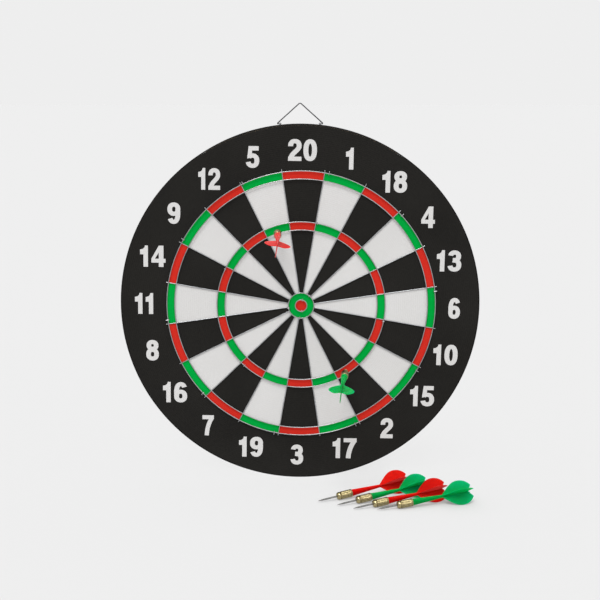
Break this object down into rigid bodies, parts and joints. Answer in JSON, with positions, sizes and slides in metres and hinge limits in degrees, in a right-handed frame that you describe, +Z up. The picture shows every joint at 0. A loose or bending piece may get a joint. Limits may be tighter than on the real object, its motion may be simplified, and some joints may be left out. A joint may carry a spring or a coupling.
{
  "type": "dartboard set",
  "caption": "Round wall dartboard of wound paper with a numbered face, a welded wire spider and a folding wire hanger, with steel-tip brass darts.",
  "frame": {"origin": "centre of the board's back face, where it rests on the wall", "axes": "+Z up, +X to the right of a player facing the board, +Y into the wall; the playing face looks towards -Y"},
  "size_m": [0.455, 0.145, 0.4808],
  "materials": {
    "wound_paper": "matte",
    "face_black": "matte",
    "print_white": "matte",
    "print_red": "matte",
    "print_green": "matte",
    "back_paper": "matte",
    "edge_band": "satin",
    "hanger_steel": "satin",
    "spider_wire": "satin",
    "staple_steel": "satin",
    "point_steel": "satin",
    "barrel_brass": "satin",
    "plastic_red": "satin",
    "plastic_green": "satin"
  },
  "bodies": {
    "board": {"board_core": "wound_paper", "face_sheet": "face_black", "back_sheet": "back_paper", "edge_band": "edge_band", "hanger_eyelet_left": "hanger_steel", "hanger_eyelet_right": "hanger_steel", "double_outer_ring": "spider_wire", "double_inner_ring": "spider_wire", "treble_outer_ring": "spider_wire", "treble_inner_ring": "spider_wire", "outer_bull_ring": "spider_wire", "inner_bull_ring": "spider_wire", "radial_wire_01": "spider_wire", "radial_wire_02": "spider_wire", "radial_wire_03": "spider_wire", "radial_wire_04": "spider_wire", "radial_wire_05": "spider_wire", "radial_wire_06": "spider_wire", "radial_wire_07": "spider_wire", "radial_wire_08": "spider_wire", "radial_wire_09": "spider_wire", "radial_wire_10": "spider_wire", "radial_wire_11": "spider_wire", "radial_wire_12": "spider_wire", "radial_wire_13": "spider_wire", "radial_wire_14": "spider_wire", "radial_wire_15": "spider_wire", "radial_wire_16": "spider_wire", "radial_wire_17": "spider_wire", "radial_wire_18": "spider_wire", "radial_wire_19": "spider_wire", "radial_wire_20": "spider_wire", "ring_staple_1": "staple_steel", "ring_staple_2": "staple_steel", "ring_staple_3": "staple_steel", "ring_staple_4": "staple_steel", "ring_staple_5": "staple_steel", "ring_staple_6": "staple_steel", "ring_staple_7": "staple_steel", "ring_staple_8": "staple_steel", "ring_staple_9": "staple_steel"},
    "hanger": {"hanger_wire": "hanger_steel"},
    "stuck_dart_red": {"stuck_dart_red_point": "point_steel", "stuck_dart_red_barrel": "barrel_brass", "stuck_dart_red_flight": "plastic_red"},
    "stuck_dart_green": {"stuck_dart_green_point": "point_steel", "stuck_dart_green_barrel": "barrel_brass", "stuck_dart_green_flight": "plastic_green"},
    "loose_dart_1": {"loose_dart_1_point": "point_steel", "loose_dart_1_barrel": "barrel_brass", "loose_dart_1_flight": "plastic_red"},
    "loose_dart_2": {"loose_dart_2_point": "point_steel", "loose_dart_2_barrel": "barrel_brass", "loose_dart_2_flight": "plastic_green"},
    "loose_dart_3": {"loose_dart_3_point": "point_steel", "loose_dart_3_barrel": "barrel_brass", "loose_dart_3_flight": "plastic_red"},
    "loose_dart_4": {"loose_dart_4_point": "point_steel", "loose_dart_4_barrel": "barrel_brass", "loose_dart_4_flight": "plastic_green"}
  },
  "joints": [
    {"name": "hanger_fold", "type": "hinge", "parent": "board", "child": "hanger", "pos_m": [0, -0.006, 0.22742], "axis": [1, 0, 0], "range_deg": [-80, 80]},
    {"name": "stuck_dart_red_pull", "type": "slide", "parent": "board", "child": "stuck_dart_red", "axis": [0.0192, -0.9986, -0.0489], "range_m": [0, 0.06]},
    {"name": "stuck_dart_green_pull", "type": "slide", "parent": "board", "child": "stuck_dart_green", "axis": [-0.0924, -0.9956, -0.0175], "range_m": [0, 0.06]},
    {"name": "loose_dart_1_lift", "type": "slide", "parent": "board", "child": "loose_dart_1", "axis": [0, 0, 1], "range_m": [0, 0.09]},
    {"name": "loose_dart_2_lift", "type": "slide", "parent": "board", "child": "loose_dart_2", "axis": [0, 0, 1], "range_m": [0, 0.09]},
    {"name": "loose_dart_3_lift", "type": "slide", "parent": "board", "child": "loose_dart_3", "axis": [0, 0, 1], "range_m": [0, 0.09]},
    {"name": "loose_dart_4_lift", "type": "slide", "parent": "board", "child": "loose_dart_4", "axis": [0, 0, 1], "range_m": [0, 0.09]}
  ]
}
